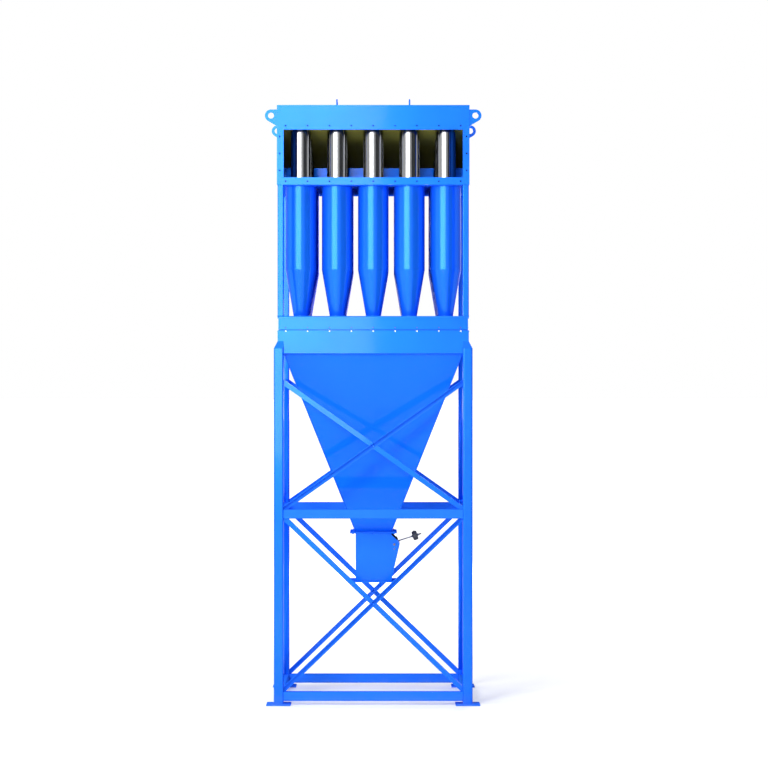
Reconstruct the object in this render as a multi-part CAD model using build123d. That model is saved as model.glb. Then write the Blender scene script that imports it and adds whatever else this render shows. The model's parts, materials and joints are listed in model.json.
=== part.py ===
from build123d import *
import math
import os

# Multi-tube cyclone separator: a battery of cyclone tubes under a gas box, over a hopper on legs.
# Millimetres, +Z up, ground at Z = 0, origin under the middle of the plan, inlet at the front, -Y.

# Cyclone battery
COLUMNS = 5
ROWS = 4
TUBE_D = 254.0
TUBE_GAP = 46.0
TUBE_WALL = 5.0
BARREL_H = 693.0
CONE_H = 381.0
SPIGOT_D = 124.0
SPIGOT_STAND = 6.0
SPIGOT_DROP = 25.0
SWIRL_GAP = 38.0
OUTLET_WALL = 4.0
OUTLET_DEPTH = 300.0
OUTLET_STAND = 12.0
VANES = 6
VANE_T = 3.0
VANE_H = 70.0
VANE_TILT = 50.0
VANE_DROP = 60.0
SIDE_GAP = 10.0
WELD_GAP = 0.3

# Stand
LEG = 80.0
LEG_WALL = 6.0
LEG_R = 12.0
LEG_LAP = 99.0
LEG_BEVEL_H = 60.0
FOOT = 200.0
FOOT_T = 10.0
FOOT_HOLE_D = 18.0
FOOT_HOLE_EDGE = 25.0
BEAM = 75.0
BEAM_WALL = 4.0
BEAM_R = 8.0
BOTTOM_BEAM_Z = 33.0
MID_BEAM_Z = 1532.0
BRACE = 40.0
BRACE_T = 4.0
LOWER_BRACE_LIFT = 14.0
LOWER_BRACE_RISE = 8.0
UPPER_BRACE_LIFT = 3.0
UPPER_BRACE_DROP = 240.0

# Hopper and its rim channels
RIM_BOTTOM = 2891.0
RIM_H = 190.0
RIM_WEB = 6.0
RIM_FLANGE_T = 8.0
HOPPER_H = 1496.0
HOPPER_LEDGE = 12.0
HOPPER_SHEET = 5.0
NECK = 300.0
NECK_FLANGE_OUT = 47.0
NECK_FLANGE_T = 6.0

# Flap valve
VALVE_H = 404.0
VALVE_WALL = 5.0
VALVE_FLANGE_T = 8.0
VALVE_HOLE_D = 14.0
VALVE_HOLE_OUT = 22.0
VALVE_BULGE = 72.0
VALVE_BULGE_DROP = 90.0
VALVE_KNEE = 57.0
VALVE_KNEE_DROP = 66.0
VALVE_COLLAR = 15.0
COVER_T = 5.0
COVER_LENGTH = 66.0
SHAFT_D = 20.0
SHAFT_OUT = 25.6
SHAFT_DROP = 5.3
SHAFT_FRONT_END = 8.0
RUNNING_GAP = 0.05
LEVER_SLOPE = 17.6
LEVER_LENGTH = 244.0
LEVER_D = 12.0
LEVER_HUB_D = 40.0
LEVER_HUB_T = 24.0
LEVER_OFFSET = 8.0
WEIGHT_D = 80.0
WEIGHT_T = 44.0
WEIGHT_ARM = 187.0
WEIGHT_EDGE = 8.0
COLLAR_D = 24.0
COLLAR_T = 10.0
FLAP_T = 2.0
FLAP_SLEEVE_D = 28.0
FLAP_CLEARANCE = 5.0

# Upper frame
UPPER_POST = 50.0
UPPER_POST_WALL = 4.0
UPPER_POST_R = 8.0
BASE_H = 109.0
BASE_WEB = 6.0
BASE_WEB_SETBACK = 6.0
BASE_TOP_FLANGE_T = 14.0
BASE_BOTTOM_FLANGE_T = 12.0
SEAM_H = 5.0
SEAM_DEPTH = 22.0
CONE_SHEET_T = 8.0

# Gas box
TUBE_SHEET_T = 10.0
BOX_SHEET = 6.0
ROOF_T = 8.0
PLENUM_H = 127.0
END_PLATE_T = 10.0
END_PLATE_OVERHANG = 5.0
INLET_SILL = 60.0
INLET_H = 393.0
INLET_HEAD = 59.0
INLET_SIDE_HOLES = 3
OUTLET_SILL = 81.0
OUTLET_HEAD = 60.0
OUTLET_SIDE_HOLES = 2
FLANGE_HOLE_D = 14.0
FLANGE_HOLE_OFFSET = 32.0
FLANGE_HOLE_PITCH_X = 180.0
FLANGE_HOLE_PITCH_Z = 140.0
SLOPED_SHEET_T = 8.0
SLOPED_SHEET_DROP = 266.0
LUG_T = 16.0
LUG_EYE_R = 50.0
LUG_HOLE_R = 25.0
LUG_EYE_OUT = 54.0
LUG_EYE_DROP = 86.0
LUG_ROOT_DROP = 90.0
HANDLE_BAR = 12.0
HANDLE_X = 300.0
HANDLE_INSET = 137.0
HANDLE_SPAN = 130.0
HANDLE_H = 60.0
HANDLE_BEND = 20.0

# Worked out from the sizes above: the plan
PITCH = TUBE_D + TUBE_GAP
OUTLET_D = TUBE_D - 2 * (TUBE_WALL + SWIRL_GAP)
CLEAR_W = (COLUMNS - 1) * PITCH + TUBE_D + 2 * SIDE_GAP
CLEAR_D = (ROWS - 1) * PITCH + TUBE_D + 2 * SIDE_GAP
UPPER_W = CLEAR_W + 2 * UPPER_POST
UPPER_D = CLEAR_D + 2 * UPPER_POST
LEG_X = (CLEAR_W + LEG) / 2
LEG_Y = (CLEAR_D + LEG) / 2
FOOT_HOLE_SPACING = FOOT - 2 * FOOT_HOLE_EDGE
HANDLE_Y = HANDLE_INSET - UPPER_D / 2
COLUMN_XS = [(column - (COLUMNS - 1) / 2) * PITCH for column in range(COLUMNS)]
ROW_YS = [(row - (ROWS - 1) / 2) * PITCH for row in range(ROWS)]
CORNERS = [(sx, sy) for sx in (-1, 1) for sy in (-1, 1)]

# Worked out: heights from the rim up
LEG_TOP = RIM_BOTTOM + LEG_LAP
RIM_TOP = RIM_BOTTOM + RIM_H
BASE_TOP = RIM_TOP + BASE_H
CONE_SHEET_TOP = BASE_TOP + CONE_SHEET_T
SPIGOT_TOP = CONE_SHEET_TOP + SPIGOT_STAND
CONE_TOP = SPIGOT_TOP + CONE_H
BOX_BOTTOM = CONE_TOP + BARREL_H
TUBE_SHEET_TOP = BOX_BOTTOM + TUBE_SHEET_T
INLET_LOW = BOX_BOTTOM + INLET_SILL
INLET_HIGH = INLET_LOW + INLET_H
SLOPED_SHEET_FRONT = INLET_HIGH + INLET_HEAD
SLOPED_SHEET_BACK = SLOPED_SHEET_FRONT - SLOPED_SHEET_DROP
SHEET_FALL = SLOPED_SHEET_DROP / UPPER_D
BOX_TOP = SLOPED_SHEET_FRONT + SLOPED_SHEET_T + PLENUM_H + ROOF_T
OUTLET_LOW = SLOPED_SHEET_BACK + OUTLET_SILL
OUTLET_HIGH = BOX_TOP - OUTLET_HEAD
LUG_EYE_Z = BOX_TOP - LUG_EYE_DROP

# Worked out: heights from the rim down, and the valve
NECK_Z = RIM_BOTTOM - HOPPER_H
NECK_FLANGE = NECK + 2 * NECK_FLANGE_OUT
VALVE_TOP = NECK_Z - 2 * NECK_FLANGE_T
VALVE_BULGE_Z = VALVE_TOP - VALVE_BULGE_DROP
VALVE_KNEE_Z = VALVE_TOP - VALVE_KNEE_DROP
VALVE_COLLAR_Z = VALVE_TOP - VALVE_COLLAR
CASING_LOW = VALVE_TOP - VALVE_H
VALVE_BOTTOM = CASING_LOW - VALVE_FLANGE_T
VALVE_HOLE_SPACING = NECK + 2 * VALVE_HOLE_OUT
SHAFT_X = NECK / 2 + SHAFT_OUT
SHAFT_Z = VALVE_BULGE_Z - SHAFT_DROP
MID_BEAM_TOP = MID_BEAM_Z + BEAM
BOTTOM_BEAM_TOP = BOTTOM_BEAM_Z + BEAM
UPPER_BRACE_LOW = MID_BEAM_TOP + UPPER_BRACE_LIFT
UPPER_BRACE_HIGH = RIM_BOTTOM - UPPER_BRACE_DROP
LOWER_BRACE_LOW = BOTTOM_BEAM_TOP + LOWER_BRACE_LIFT
LOWER_BRACE_HIGH = MID_BEAM_Z + LOWER_BRACE_RISE

os.makedirs("parts", exist_ok=True)


def save(node, *solids):
    """Write one node, of one solid or of several that stand apart."""
    shape = solids[0] if len(solids) == 1 else Compound(children=list(solids))
    export_step(shape, f"parts/{node}.step")


def slab(x_range, y_range, z_range):
    """A plain block between two corners."""
    spans = (x_range, y_range, z_range)
    sizes = [high - low for low, high in spans]
    centre = [(high + low) / 2 for low, high in spans]
    return Pos(*centre) * Box(*sizes)


def round_bar(diameter, z_low, z_high, x=0.0, y=0.0):
    """An upright round bar."""
    return Pos(x, y, (z_low + z_high) / 2) * Cylinder(diameter / 2, z_high - z_low)


def square_tube(size, wall, corner_r, length, closed_end=0.0):
    """A square hollow section standing on the origin, its top solid over closed_end."""
    outside = extrude(RectangleRounded(size, size, corner_r), length)
    bore = size - 2 * wall
    return outside - extrude(RectangleRounded(bore, bore, corner_r - wall), length - closed_end)


def facing(solid, side):
    """Turn a solid modelled for the front of the plan to another side."""
    turns = {"front": 0, "right": 90, "back": 180, "left": 270}
    return Rot(0, 0, turns[side]) * solid


def side_sizes(side, wide, deep):
    """Length along a side, and distance of that side from the middle."""
    return (wide, deep / 2) if side in ("front", "back") else (deep, wide / 2)


def at_corners(solid):
    """Mirror a solid from the right back corner to all four corners."""
    copies = []
    for sx, sy in CORNERS:
        copy = solid if sx > 0 else mirror(solid, Plane.YZ)
        copies.append(copy if sy > 0 else mirror(copy, Plane.XZ))
    return copies


# Stand


def leg():
    """One leg, its top bevelled on both outer faces up to the line of the rim."""
    step = LEG - UPPER_POST
    tube = square_tube(LEG, LEG_WALL, LEG_R, LEG_TOP - FOOT_T, LEG_BEVEL_H + LEG_WALL)
    top = LEG_TOP - FOOT_T
    inner = LEG / 2 - step
    wedge = Polygon((inner, top), (LEG / 2, top), (LEG / 2, top - LEG_BEVEL_H), align=None)
    bevel = extrude(Plane.XZ * wedge, LEG / 2, both=True)
    tube = tube - bevel - Rot(0, 0, 90) * bevel
    return Pos(LEG_X, LEG_Y, FOOT_T) * tube


def foot_plate():
    """One base plate with four anchor holes."""
    sketch = Rectangle(FOOT, FOOT)
    sketch -= GridLocations(FOOT_HOLE_SPACING, FOOT_HOLE_SPACING, 2, 2) * Circle(FOOT_HOLE_D / 2)
    return Pos(LEG_X, LEG_Y, 0) * extrude(sketch, FOOT_T)


def cross_beam(side, z_low):
    """A hollow beam between two legs, set on their middle line."""
    length, distance = side_sizes(side, CLEAR_W, CLEAR_D)
    tube = Pos(0, 0, -length / 2) * square_tube(BEAM, BEAM_WALL, BEAM_R, length)
    lying = Rot(0, 90, 0) * tube
    return facing(Pos(0, -distance - LEG / 2, z_low + BEAM / 2) * lying, side)


def brace(side, z_low, z_high, floor, ceiling, outer):
    """One angle of a cross brace: the outer one rises to the right, the inner one falls behind it."""
    length, distance = side_sizes(side, CLEAR_W, CLEAR_D)
    slope = math.atan2(z_high - z_low, length)
    run = math.hypot(length, z_high - z_low) + 2 * BRACE
    flat = slab((-run / 2, run / 2), (-BRACE_T, 0), (-BRACE / 2, BRACE / 2))
    lip = slab((-run / 2, run / 2), (-BRACE, 0), (BRACE / 2 - BRACE_T, BRACE / 2))
    angle = Rot(0, -math.degrees(slope), 0) * (flat + lip)
    if not outer:
        angle = mirror(mirror(angle, Plane.XZ), Plane.YZ)
    angle = Pos(0, 0, (z_low + z_high) / 2) * angle
    angle = angle & slab((-length / 2, length / 2), (-LEG, LEG), (floor, ceiling))
    return facing(Pos(0, -distance - LEG / 2, 0) * angle, side)


def stand():
    """Legs, base plates, beams and cross braces."""
    sides = ("front", "right", "back", "left")
    save("legs", *at_corners(leg()))
    save("foot_plates", *at_corners(foot_plate()))
    save("bottom_beams", *[cross_beam(side, BOTTOM_BEAM_Z) for side in sides])
    save("mid_beams", *[cross_beam(side, MID_BEAM_Z) for side in sides])
    upper = (UPPER_BRACE_LOW, UPPER_BRACE_HIGH, MID_BEAM_TOP, RIM_BOTTOM)
    lower = (LOWER_BRACE_LOW, LOWER_BRACE_HIGH, BOTTOM_BEAM_TOP, MID_BEAM_Z)
    for name, outer in (("outer", True), ("inner", False)):
        save(f"{name}_upper_braces", *[brace(side, *upper, outer) for side in sides])
        save(f"{name}_lower_braces", *[brace(side, *lower, outer) for side in sides])


# Hopper


def mitred_beam(side, profile, reach):
    """Run a profile along one side of the upper plan, with mitred ends."""
    length, distance = side_sizes(side, UPPER_W, UPPER_D)
    beam = extrude(Plane.YZ * Pos(-distance, 0) * profile, length / 2, both=True)
    half = length / 2
    plan = Polygon(
        (-half, -distance), (half, -distance), (half - reach, reach - distance),
        (reach - half, reach - distance), align=None)
    return beam & extrude(plan, BOX_TOP)


def rim_beam(side):
    """A channel of the hopper rim, notched at its ends to sit on the legs."""
    flange = UPPER_POST + HOPPER_LEDGE
    height = RIM_TOP - RIM_BOTTOM
    profile = Pos(flange / 2, RIM_BOTTOM + height / 2) * Rectangle(flange, height)
    hollow_h = height - 2 * RIM_FLANGE_T
    profile -= Pos(RIM_WEB + flange / 2, RIM_BOTTOM + height / 2) * Rectangle(flange, hollow_h)
    beam = mitred_beam(side, profile, flange)
    length, distance = side_sizes(side, CLEAR_W, CLEAR_D)
    for end in (-1, 1):
        near, far = end * length / 2, end * (length / 2 + LEG)
        beam -= slab((min(near, far), max(near, far)), (-distance - LEG, 0), (RIM_BOTTOM - LEG, LEG_TOP))
    return facing(beam, side)


def hopper_wall(side):
    """A sloped wall of the hopper, mitred against its neighbours."""
    top_w, top_d = side_sizes(side, CLEAR_W, CLEAR_D)
    half_top = top_w / 2
    half_neck = NECK / 2
    rise = RIM_BOTTOM - NECK_Z
    skin = HOPPER_SHEET * math.hypot(rise, top_d - half_neck) / rise
    side_skin = HOPPER_SHEET * math.hypot(rise, half_top - half_neck) / rise

    def wall_face(inset, side_inset):
        """The outer or the inner face of the wall."""
        points = [
            (inset - half_top, side_inset - top_d, RIM_BOTTOM),
            (half_top - inset, side_inset - top_d, RIM_BOTTOM),
            (half_neck - inset, side_inset - half_neck, NECK_Z),
            (inset - half_neck, side_inset - half_neck, NECK_Z),
        ]
        return make_face(Polyline(*points, close=True))

    wall = loft([wall_face(0, 0), wall_face(side_skin, skin)], ruled=True)
    return facing(wall, side)


def ring_flange(outer, inner, z_low, thickness, hole_d=0.0, hole_spacing=0.0):
    """A square ring flange, with holes at its corners and at the middles of its sides."""
    sketch = Rectangle(outer, outer) - Rectangle(inner, inner)
    if hole_d:
        spots = GridLocations(hole_spacing / 2, hole_spacing / 2, 3, 3)
        sketch -= [spot * Circle(hole_d / 2) for spot in spots if spot.position.length > hole_d]
    return Pos(0, 0, z_low) * extrude(sketch, thickness)


def hopper():
    """Rim channels, sloped walls and the neck flange."""
    for name, sides in (("long", ("front", "back")), ("short", ("left", "right"))):
        save(f"{name}_rim_beams", *[rim_beam(side) for side in sides])
    for side in ("front", "right", "back", "left"):
        save(f"hopper_{side}_wall", hopper_wall(side))
    bore = NECK - 2 * HOPPER_SHEET
    save("hopper_neck_flange", ring_flange(NECK_FLANGE, bore, NECK_Z - NECK_FLANGE_T, NECK_FLANGE_T))


# Flap valve


def casing_outline():
    """Side outline of the valve casing, bulged on the right under a slanted shoulder to take the shaft."""
    half = NECK / 2
    return [
        (-half, CASING_LOW),
        (half, CASING_LOW),
        (half + VALVE_BULGE, VALVE_BULGE_Z),
        (half + VALVE_KNEE, VALVE_KNEE_Z),
        (half, VALVE_COLLAR_Z),
        (half, VALVE_TOP),
        (-half, VALVE_TOP),
    ]


def side_plate(y_low):
    """A front or back plate of the casing with the bore for the flap shaft."""
    outline = extrude(Plane.XZ * Polygon(*casing_outline(), align=None), -VALVE_WALL)
    bore = Rot(90, 0, 0) * Cylinder(SHAFT_D / 2 + RUNNING_GAP, 4 * VALVE_WALL)
    return Pos(0, y_low, 0) * (outline - Pos(SHAFT_X, 0, SHAFT_Z) * bore)


def wall_between(start, end, thickness, half_y):
    """A casing plate along one edge of the outline, its thickness to the left of the edge."""
    length = math.dist(start, end)
    turn = math.degrees(math.atan2(end[1] - start[1], end[0] - start[0]))
    plate = slab((0, length), (-half_y, half_y), (min(0, thickness), max(0, thickness)))
    return Pos(start[0], 0, start[1]) * (Rot(0, -turn, 0) * plate)


def casing_plates():
    """The six plates of the casing, and the dark lid on its slanted shoulder."""
    inside = NECK / 2 - VALVE_WALL
    low_left, low_right, bulge, knee, shoulder, _, top_left = casing_outline()
    room = extrude(Plane.XZ * Polygon(*casing_outline(), align=None), inside, both=True)
    save("valve_front_plate", side_plate(-NECK / 2))
    save("valve_back_plate", side_plate(inside))
    save("valve_left_plate", wall_between(top_left, low_left, VALVE_WALL, inside) & room)
    lower = wall_between(low_right, bulge, VALVE_WALL, inside) & room
    save("valve_right_plate", lower)
    nose = (wall_between(bulge, knee, VALVE_WALL, inside) & room) - lower
    save("valve_nose_plate", nose)
    collar = slab((inside, NECK / 2), (-inside, inside), (VALVE_COLLAR_Z - VALVE_WALL, VALVE_TOP))
    upper = (wall_between(knee, shoulder, VALVE_WALL, inside) + collar) & room
    save("valve_shoulder_plate", upper - nose)
    middle = [(a + b) / 2 for a, b in zip(knee, shoulder)]
    slant = [(b - a) / math.dist(knee, shoulder) for a, b in zip(knee, shoulder)]
    start = [m - s * COVER_LENGTH / 2 for m, s in zip(middle, slant)]
    end = [m + s * COVER_LENGTH / 2 for m, s in zip(middle, slant)]
    save("valve_cover", wall_between(start, end, -COVER_T, NECK / 2))


def on_shaft(solid):
    """Place a piece modelled about the Y axis on the flap shaft, turned to the lever's slope."""
    return Pos(SHAFT_X, 0, SHAFT_Z) * (Rot(0, -LEVER_SLOPE, 0) * solid)


def along_y(diameter, y_low, y_high):
    """A round bar lying along Y."""
    bar = Rot(90, 0, 0) * Cylinder(diameter / 2, y_high - y_low)
    return Pos(0, (y_low + y_high) / 2, 0) * bar


def along_x(diameter, x_low, x_high, y):
    """A round bar lying along X."""
    bar = Rot(0, 90, 0) * Cylinder(diameter / 2, x_high - x_low)
    return Pos((x_low + x_high) / 2, y, 0) * bar


def flap_assembly():
    """Shaft, flap, lever and counterweight, which turn together."""
    inside = NECK / 2 - VALVE_WALL
    hub_front = NECK / 2 + LEVER_OFFSET
    hub_back = hub_front + LEVER_HUB_T
    lever_y = (hub_front + hub_back) / 2
    shaft_bore = SHAFT_D + 2 * RUNNING_GAP
    save("flap_shaft", on_shaft(along_y(SHAFT_D, -NECK / 2 - SHAFT_FRONT_END, hub_back)))

    half_flap = inside - FLAP_CLEARANCE
    reach = (SHAFT_X + inside - FLAP_CLEARANCE) / math.cos(math.radians(LEVER_SLOPE))
    blade = slab((-reach, 0), (-half_flap, half_flap), (-FLAP_T / 2, FLAP_T / 2))
    flap = blade + along_y(FLAP_SLEEVE_D, -half_flap, half_flap)
    save("flap", on_shaft(flap - along_y(shaft_bore, -half_flap, half_flap)))

    hub = along_y(LEVER_HUB_D, hub_front, hub_back)
    lever = hub + along_x(LEVER_D, 0, LEVER_LENGTH, lever_y)
    save("flap_lever", on_shaft(lever - along_y(shaft_bore, hub_front, hub_back)))

    rod_bore = LEVER_D + 2 * RUNNING_GAP
    weight_start = WEIGHT_ARM - WEIGHT_T / 2
    weight_end = WEIGHT_ARM + WEIGHT_T / 2
    weight = along_x(WEIGHT_D, weight_start, weight_end, lever_y)
    weight = chamfer(weight.edges().filter_by(GeomType.CIRCLE), WEIGHT_EDGE)
    save("counterweight", on_shaft(weight - along_x(rod_bore, weight_start, weight_end, lever_y)))

    collars = []
    for start in (weight_start - COLLAR_T, weight_end):
        collar = along_x(COLLAR_D, start, start + COLLAR_T, lever_y)
        collars.append(on_shaft(collar - along_x(rod_bore, start, start + COLLAR_T, lever_y)))
    save("weight_collars", *collars)


def valve():
    """The flap valve under the hopper."""
    bore = NECK - 2 * VALVE_WALL
    save("valve_top_flange", ring_flange(NECK_FLANGE, bore, VALVE_TOP, NECK_FLANGE_T))
    outlet = ring_flange(
        NECK_FLANGE, bore, VALVE_BOTTOM, VALVE_FLANGE_T, VALVE_HOLE_D, VALVE_HOLE_SPACING)
    save("valve_outlet_flange", outlet)
    casing_plates()
    flap_assembly()


# Upper frame


def base_beam(side):
    """A built-up beam over the rim: thick top flange, web set back, bottom flange with an open seam."""
    height = BASE_TOP - RIM_TOP
    profile = Pos(UPPER_POST / 2, RIM_TOP + height / 2) * Rectangle(UPPER_POST, height)
    web_low = RIM_TOP + BASE_BOTTOM_FLANGE_T
    web_high = BASE_TOP - BASE_TOP_FLANGE_T
    inner_x = BASE_WEB_SETBACK + BASE_WEB
    middle = (web_low + web_high) / 2
    room = UPPER_POST - inner_x
    profile -= Pos(inner_x + room / 2, middle) * Rectangle(room, web_high - web_low)
    face_h = web_high - RIM_TOP
    profile -= Pos(BASE_WEB_SETBACK / 2, RIM_TOP + face_h / 2) * Rectangle(BASE_WEB_SETBACK, face_h)
    profile -= Pos(SEAM_DEPTH / 2, RIM_TOP + SEAM_H / 2) * Rectangle(SEAM_DEPTH, SEAM_H)
    return facing(mitred_beam(side, profile, UPPER_POST), side)


def drilled_sheet(sketch, hole_d):
    """Cut the holes of the whole battery into a sheet."""
    spots = [Pos(x, y) * Circle(hole_d / 2) for x in COLUMN_XS for y in ROW_YS]
    return sketch - spots


def upper_frame():
    """Base beams, the sheet for the dust spigots and the four corner posts."""
    for name, sides in (("long", ("front", "back")), ("short", ("left", "right"))):
        save(f"{name}_base_beams", *[base_beam(side) for side in sides])
    sheet = drilled_sheet(Rectangle(UPPER_W, UPPER_D), SPIGOT_D + 2 * WELD_GAP)
    save("spigot_sheet", Pos(0, 0, BASE_TOP) * extrude(sheet, CONE_SHEET_T))
    post = square_tube(UPPER_POST, UPPER_POST_WALL, UPPER_POST_R, BOX_BOTTOM - CONE_SHEET_TOP)
    offset = UPPER_POST / 2
    placed = Pos(CLEAR_W / 2 + offset, CLEAR_D / 2 + offset, CONE_SHEET_TOP) * post
    save("upper_posts", *at_corners(placed))


# Cyclone battery


def sheet_underside(y):
    """Height of the sloped sheet's underside, which falls from the inlet to the back."""
    return SLOPED_SHEET_FRONT - SHEET_FALL * (y + UPPER_D / 2)


def cyclone():
    """One cyclone body about Z: barrel, cone and dust spigot, turned from one profile."""
    outer = [
        (TUBE_D / 2, TUBE_SHEET_TOP),
        (TUBE_D / 2, CONE_TOP),
        (SPIGOT_D / 2, SPIGOT_TOP),
        (SPIGOT_D / 2, BASE_TOP - SPIGOT_DROP),
    ]
    inner = [(r - TUBE_WALL, z) for r, z in reversed(outer)]
    return revolve(Plane.XZ * Polygon(*outer, *inner, align=None), Axis.Z)


def outlet_tube(y):
    """One clean gas tube about Z, long enough to stand through the sloped sheet at depth y."""
    top = sheet_underside(y) + SLOPED_SHEET_T + SHEET_FALL * OUTLET_D + OUTLET_STAND
    low = TUBE_SHEET_TOP - OUTLET_DEPTH
    return round_bar(OUTLET_D, low, top) - round_bar(OUTLET_D - 2 * OUTLET_WALL, low, top)


def vane_ring():
    """The tilted swirl vanes between one clean gas tube and its cyclone body."""
    inner_r = OUTLET_D / 2 + WELD_GAP
    outer_r = TUBE_D / 2 - TUBE_WALL - WELD_GAP
    gap = Cylinder(outer_r, 2 * VANE_H) - Cylinder(inner_r, 2 * VANE_H)
    blade = slab((0, outer_r), (-VANE_T / 2, VANE_T / 2), (-VANE_H / 2, VANE_H / 2))
    vane = (Rot(VANE_TILT, 0, 0) * blade) & gap
    height = TUBE_SHEET_TOP - VANE_DROP
    return [Pos(0, 0, height) * (Rot(0, 0, 360 * index / VANES) * vane) for index in range(VANES)]


def battery():
    """All cyclone bodies, clean gas tubes and swirl vanes, row by row from the inlet."""
    body = cyclone()
    vanes = vane_ring()
    for row, y in enumerate(ROW_YS, 1):
        tube = outlet_tube(y)
        save(f"cyclones_row_{row}", *[Pos(x, y, 0) * body for x in COLUMN_XS])
        save(f"outlet_tubes_row_{row}", *[Pos(x, y, 0) * tube for x in COLUMN_XS])
        save(f"swirl_vanes_row_{row}", *[Pos(x, y, 0) * vane for x in COLUMN_XS for vane in vanes])


# Gas box


def end_plate(low, high, outer_y, side_holes):
    """A front or back plate with its duct window and the bolt holes round it."""
    height = BOX_TOP - BOX_BOTTOM
    middle = (low + high) / 2
    plate = Pos(0, BOX_BOTTOM + height / 2) * Rectangle(UPPER_W + 2 * END_PLATE_OVERHANG, height)
    plate -= Pos(0, middle) * Rectangle(CLEAR_W, high - low)
    across = int(CLEAR_W / 2 / FLANGE_HOLE_PITCH_X)
    spots = []
    for step in range(-across, across + 1):
        for z in (low - FLANGE_HOLE_OFFSET, high + FLANGE_HOLE_OFFSET):
            spots.append((step * FLANGE_HOLE_PITCH_X, z))
    for step in range(side_holes):
        z = middle + (step - (side_holes - 1) / 2) * FLANGE_HOLE_PITCH_Z
        for x in (-CLEAR_W / 2 - FLANGE_HOLE_OFFSET, CLEAR_W / 2 + FLANGE_HOLE_OFFSET):
            spots.append((x, z))
    plate -= [Pos(x, z) * Circle(FLANGE_HOLE_D / 2) for x, z in spots]
    return Pos(0, outer_y, 0) * extrude(Plane.XZ * plate, -END_PLATE_T)


def sloped_sheet():
    """The upper tube sheet, which falls towards the back so that the gas keeps its speed."""
    half_w = UPPER_W / 2 - BOX_SHEET
    half_d = UPPER_D / 2
    profile = Polygon(
        (-half_d, SLOPED_SHEET_FRONT), (half_d, SLOPED_SHEET_BACK),
        (half_d, SLOPED_SHEET_BACK + SLOPED_SHEET_T), (-half_d, SLOPED_SHEET_FRONT + SLOPED_SHEET_T),
        align=None)
    sheet = extrude(Plane.YZ * profile, half_w, both=True)
    for x in COLUMN_XS:
        for y in ROW_YS:
            sheet -= round_bar(OUTLET_D + 2 * WELD_GAP, BOX_BOTTOM, BOX_TOP, x, y)
    return sheet


def lug():
    """A lifting lug at the right back corner: a round eye drawn out of a plate on the side wall."""
    wall_x = UPPER_W / 2
    eye_x = wall_x + LUG_EYE_OUT
    top = LUG_EYE_Z + LUG_EYE_R
    span = math.hypot(LUG_ROOT_DROP, LUG_EYE_OUT)
    slope = math.atan2(LUG_ROOT_DROP, LUG_EYE_OUT) - math.asin(LUG_EYE_R / span)
    touch = (eye_x + LUG_EYE_R * math.sin(slope), LUG_EYE_Z - LUG_EYE_R * math.cos(slope))
    root = (wall_x, LUG_EYE_Z - LUG_ROOT_DROP)
    outline = Polygon(root, touch, (eye_x, LUG_EYE_Z), (eye_x, top), (wall_x, top), align=None)
    outline += Pos(eye_x, LUG_EYE_Z) * Circle(LUG_EYE_R)
    outline -= Pos(eye_x, LUG_EYE_Z) * Circle(LUG_HOLE_R)
    return Pos(0, UPPER_D / 2 - LUG_T, 0) * extrude(Plane.XZ * outline, -LUG_T)


def handle(x):
    """A bent bar handle on the roof, running front to back."""
    ends = (HANDLE_Y - HANDLE_SPAN / 2, HANDLE_Y + HANDLE_SPAN / 2)
    top = BOX_TOP + HANDLE_H - HANDLE_BAR / 2
    path = FilletPolyline(
        (x, ends[0], BOX_TOP), (x, ends[0], top), (x, ends[1], top), (x, ends[1], BOX_TOP),
        radius=HANDLE_BEND)
    return sweep(Plane.XY * Pos(x, ends[0], BOX_TOP) * Circle(HANDLE_BAR / 2), path)


def gas_box():
    """Tube sheets, walls, roof, lifting lugs and roof handles."""
    half_w = UPPER_W / 2
    half_d = UPPER_D / 2
    sheet = drilled_sheet(Rectangle(UPPER_W, UPPER_D), TUBE_D + 2 * WELD_GAP)
    save("lower_tube_sheet", Pos(0, 0, BOX_BOTTOM) * extrude(sheet, TUBE_SHEET_T))
    save("upper_tube_sheet", sloped_sheet())
    save("inlet_plate", end_plate(INLET_LOW, INLET_HIGH, -half_d - END_PLATE_T, INLET_SIDE_HOLES))
    save("outlet_plate", end_plate(OUTLET_LOW, OUTLET_HIGH, half_d, OUTLET_SIDE_HOLES))
    roof_low = BOX_TOP - ROOF_T
    heights = (TUBE_SHEET_TOP, roof_low)
    save("left_side_wall", slab((-half_w, BOX_SHEET - half_w), (-half_d, half_d), heights))
    save("right_side_wall", slab((half_w - BOX_SHEET, half_w), (-half_d, half_d), heights))
    save("roof", slab((-half_w, half_w), (-half_d, half_d), (roof_low, BOX_TOP)))
    save("lifting_lugs", *at_corners(lug()))
    save("roof_handles", handle(-HANDLE_X), handle(HANDLE_X))


stand()
hopper()
valve()
upper_frame()
battery()
gas_box()
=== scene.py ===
"""Looks of the multi-tube cyclone separator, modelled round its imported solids."""

import json
import logging
import math
from dataclasses import dataclass
from enum import Enum
from typing import Callable, Iterable, Sequence

import bpy
from mathutils import Matrix, Vector


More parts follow.
